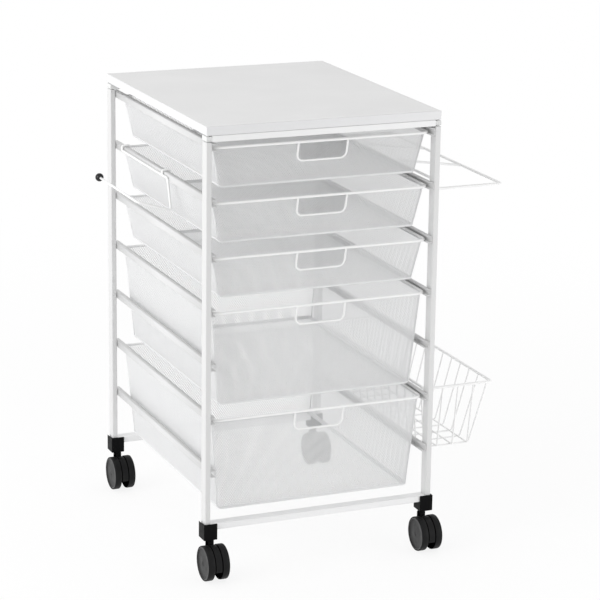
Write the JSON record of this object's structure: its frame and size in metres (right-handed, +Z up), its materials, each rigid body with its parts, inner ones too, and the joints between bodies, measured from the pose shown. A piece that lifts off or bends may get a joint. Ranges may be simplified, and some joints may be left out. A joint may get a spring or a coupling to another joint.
{
  "type": "gift wrap cart",
  "caption": "White steel wire-drawer cart on twin-wheel casters with a laminate top, a ribbon rod on one side and a wire loop and basket for wrapping-paper rolls on the other.",
  "frame": {"origin": "middle of the whole object's base on the floor, side racks and casters included", "axes": "+Z up, the drawers pull out towards -Y, the roll rack is on the +X side and the ribbon holder on the -X side"},
  "size_m": [0.6564, 0.5874, 0.8351],
  "materials": {
    "white_steel": "satin white powder coat",
    "mesh_steel": "white powder-coated expanded mesh",
    "joiner_plastic": "matte off-white",
    "panel_laminate": "satin white laminate on board",
    "caster_plastic": "semi-gloss black",
    "wheel_plastic": "matte charcoal",
    "knob_plastic": "gloss black"
  },
  "bodies": {
    "cart_frame": {"runner_left_1": "white_steel", "runner_left_2": "white_steel", "runner_left_3": "white_steel", "runner_left_4": "white_steel", "runner_left_5": "white_steel", "runner_left_6": "white_steel", "runner_left_7": "white_steel", "runner_right_1": "white_steel", "runner_right_2": "white_steel", "runner_right_3": "white_steel", "runner_right_4": "white_steel", "runner_right_5": "white_steel", "runner_right_6": "white_steel", "runner_right_7": "white_steel", "crossbar_front_top": "white_steel", "crossbar_front_bottom": "white_steel", "post_front_left": "white_steel", "joiner_front_left": "joiner_plastic", "caster_bracket_front_left": "caster_plastic", "post_front_right": "white_steel", "joiner_front_right": "joiner_plastic", "caster_bracket_front_right": "caster_plastic", "crossbar_rear_top": "white_steel", "crossbar_rear_bottom": "white_steel", "post_rear_left": "white_steel", "joiner_rear_left": "joiner_plastic", "caster_bracket_rear_left": "caster_plastic", "post_rear_right": "white_steel", "joiner_rear_right": "joiner_plastic", "caster_bracket_rear_right": "caster_plastic", "top_panel": "panel_laminate", "roll_loop": "white_steel", "roll_basket": "white_steel", "ribbon_holder": "white_steel", "ribbon_holder_knob": "knob_plastic"},
    "drawer_1": {"drawer_1_rim": "white_steel", "drawer_1_mesh": "mesh_steel"},
    "drawer_2": {"drawer_2_rim": "white_steel", "drawer_2_mesh": "mesh_steel"},
    "drawer_3": {"drawer_3_rim": "white_steel", "drawer_3_mesh": "mesh_steel"},
    "drawer_4": {"drawer_4_rim": "white_steel", "drawer_4_mesh": "mesh_steel"},
    "drawer_5": {"drawer_5_rim": "white_steel", "drawer_5_mesh": "mesh_steel"},
    "caster_front_left": {"caster_body_front_left": "caster_plastic"},
    "wheel_front_left_left": {"caster_wheel_front_left_left": "wheel_plastic"},
    "wheel_front_left_right": {"caster_wheel_front_left_right": "wheel_plastic"},
    "caster_front_right": {"caster_body_front_right": "caster_plastic"},
    "wheel_front_right_left": {"caster_wheel_front_right_left": "wheel_plastic"},
    "wheel_front_right_right": {"caster_wheel_front_right_right": "wheel_plastic"},
    "caster_rear_left": {"caster_body_rear_left": "caster_plastic"},
    "wheel_rear_left_left": {"caster_wheel_rear_left_left": "wheel_plastic"},
    "wheel_rear_left_right": {"caster_wheel_rear_left_right": "wheel_plastic"},
    "caster_rear_right": {"caster_body_rear_right": "caster_plastic"},
    "wheel_rear_right_left": {"caster_wheel_rear_right_left": "wheel_plastic"},
    "wheel_rear_right_right": {"caster_wheel_rear_right_right": "wheel_plastic"}
  },
  "joints": [
    {"name": "drawer_1_slide", "type": "slide", "parent": "cart_frame", "child": "drawer_1", "axis": [0, -1, 0], "range_m": [0, 0.4]},
    {"name": "drawer_2_slide", "type": "slide", "parent": "cart_frame", "child": "drawer_2", "axis": [0, -1, 0], "range_m": [0, 0.4]},
    {"name": "drawer_3_slide", "type": "slide", "parent": "cart_frame", "child": "drawer_3", "axis": [0, -1, 0], "range_m": [0, 0.4]},
    {"name": "drawer_4_slide", "type": "slide", "parent": "cart_frame", "child": "drawer_4", "axis": [0, -1, 0], "range_m": [0, 0.4]},
    {"name": "drawer_5_slide", "type": "slide", "parent": "cart_frame", "child": "drawer_5", "axis": [0, -1, 0], "range_m": [0, 0.4]},
    {"name": "caster_front_left_swivel", "type": "hinge", "parent": "cart_frame", "child": "caster_front_left", "pos_m": [-0.25245, -0.24115, 0.073], "axis": [0, 0, 1], "continuous": true},
    {"name": "wheel_front_left_left_spin", "type": "hinge", "parent": "caster_front_left", "child": "wheel_front_left_left", "pos_m": [-0.2597, -0.26115, 0.0325], "axis": [1, 0, 0], "continuous": true},
    {"name": "wheel_front_left_right_spin", "type": "hinge", "parent": "caster_front_left", "child": "wheel_front_left_right", "pos_m": [-0.2452, -0.26115, 0.0325], "axis": [1, 0, 0], "continuous": true},
    {"name": "caster_front_right_swivel", "type": "hinge", "parent": "cart_frame", "child": "caster_front_right", "pos_m": [0.17295, -0.24115, 0.073], "axis": [0, 0, 1], "continuous": true},
    {"name": "wheel_front_right_left_spin", "type": "hinge", "parent": "caster_front_right", "child": "wheel_front_right_left", "pos_m": [0.1657, -0.26115, 0.0325], "axis": [1, 0, 0], "continuous": true},
    {"name": "wheel_front_right_right_spin", "type": "hinge", "parent": "caster_front_right", "child": "wheel_front_right_right", "pos_m": [0.1802, -0.26115, 0.0325], "axis": [1, 0, 0], "continuous": true},
    {"name": "caster_rear_left_swivel", "type": "hinge", "parent": "cart_frame", "child": "caster_rear_left", "pos_m": [-0.25245, 0.27985, 0.073], "axis": [0, 0, 1], "continuous": true},
    {"name": "wheel_rear_left_left_spin", "type": "hinge", "parent": "caster_rear_left", "child": "wheel_rear_left_left", "pos_m": [-0.2597, 0.25985, 0.0325], "axis": [1, 0, 0], "continuous": true},
    {"name": "wheel_rear_left_right_spin", "type": "hinge", "parent": "caster_rear_left", "child": "wheel_rear_left_right", "pos_m": [-0.2452, 0.25985, 0.0325], "axis": [1, 0, 0], "continuous": true},
    {"name": "caster_rear_right_swivel", "type": "hinge", "parent": "cart_frame", "child": "caster_rear_right", "pos_m": [0.17295, 0.27985, 0.073], "axis": [0, 0, 1], "continuous": true},
    {"name": "wheel_rear_right_left_spin", "type": "hinge", "parent": "caster_rear_right", "child": "wheel_rear_right_left", "pos_m": [0.1657, 0.25985, 0.0325], "axis": [1, 0, 0], "continuous": true},
    {"name": "wheel_rear_right_right_spin", "type": "hinge", "parent": "caster_rear_right", "child": "wheel_rear_right_right", "pos_m": [0.1802, 0.25985, 0.0325], "axis": [1, 0, 0], "continuous": true}
  ]
}
